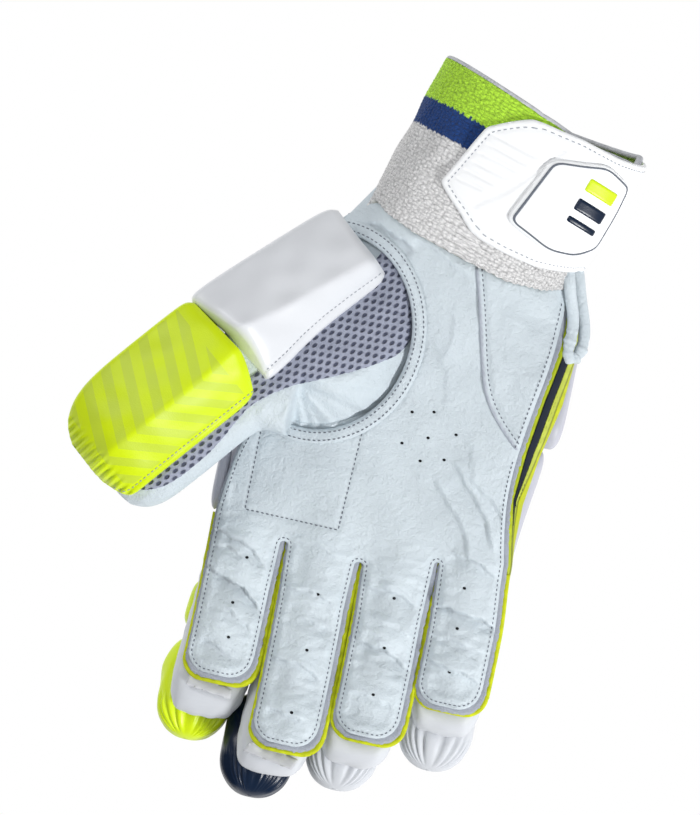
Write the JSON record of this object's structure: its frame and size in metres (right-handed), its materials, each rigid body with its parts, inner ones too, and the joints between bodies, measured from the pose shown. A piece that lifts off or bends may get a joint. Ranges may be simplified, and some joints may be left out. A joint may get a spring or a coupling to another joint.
{
  "type": "cricket batting glove",
  "caption": "Right-hand cricket batting glove, palm up: leather palm, four padded finger sleeves, two-pad thumb on a mesh panel, knitted cuff with a closing strap",
  "frame": {"origin": "centre of the bounding box in plan, on the surface that the glove lies on", "axes": "+Y from the fingertips to the wrist, +X to the little finger's side, +Z out of the palm"},
  "size_m": [0.2034, 0.3122, 0.0926],
  "materials": {
    "palm_leather": "fine-grained soft leather",
    "white_pu": "smooth coated padding cover",
    "grey_suede": "napped suede strip",
    "lime_fabric": "bright woven cloth",
    "lime_pu": "smooth coated padding cover",
    "navy_pu": "smooth coated padding cover",
    "grey_mesh": "open spacer mesh",
    "grey_knit": "chunky knit",
    "lining_fabric": "plain woven cloth"
  },
  "bodies": {
    "root": {"palm": "palm_leather", "finger_welt": "grey_suede", "heel_patch": "palm_leather", "thumb_rim": "palm_leather", "sleeve_index": "lime_fabric", "sleeve_middle": "lime_fabric", "sleeve_ring": "lime_fabric", "sleeve_little": "lime_fabric", "collar_index": "white_pu", "collar_middle": "white_pu", "collar_ring": "white_pu", "collar_little": "white_pu", "roll_base_index": "lime_pu", "roll_mid_index": "lime_pu", "tip_cap_index": "lime_pu", "roll_base_middle": "navy_pu", "roll_mid_middle": "navy_pu", "tip_cap_middle": "navy_pu", "roll_base_ring": "white_pu", "roll_mid_ring": "white_pu", "tip_cap_ring": "white_pu", "roll_base_little": "white_pu", "roll_mid_little": "white_pu", "tip_cap_little": "white_pu", "knuckle_pad_index": "white_pu", "knuckle_pad_middle": "white_pu", "knuckle_pad_ring": "white_pu", "knuckle_pad_little": "white_pu", "back_pad_index": "white_pu", "back_pad_middle": "white_pu", "back_pad_ring": "white_pu", "side_guard": "white_pu", "index_guard": "white_pu", "back_lining": "lining_fabric", "side_strip": "lime_fabric", "thumb_sleeve_front": "palm_leather", "thumb_sleeve_back": "palm_leather", "thumb_mesh": "grey_mesh", "thumb_base_pad": "white_pu", "thumb_tip_pad": "lime_pu", "cuff": "grey_knit", "cuff_binding": "grey_mesh", "strap": "white_pu", "strap_badge": "white_pu", "pull_loop": "palm_leather"}
  },
  "joints": []
}
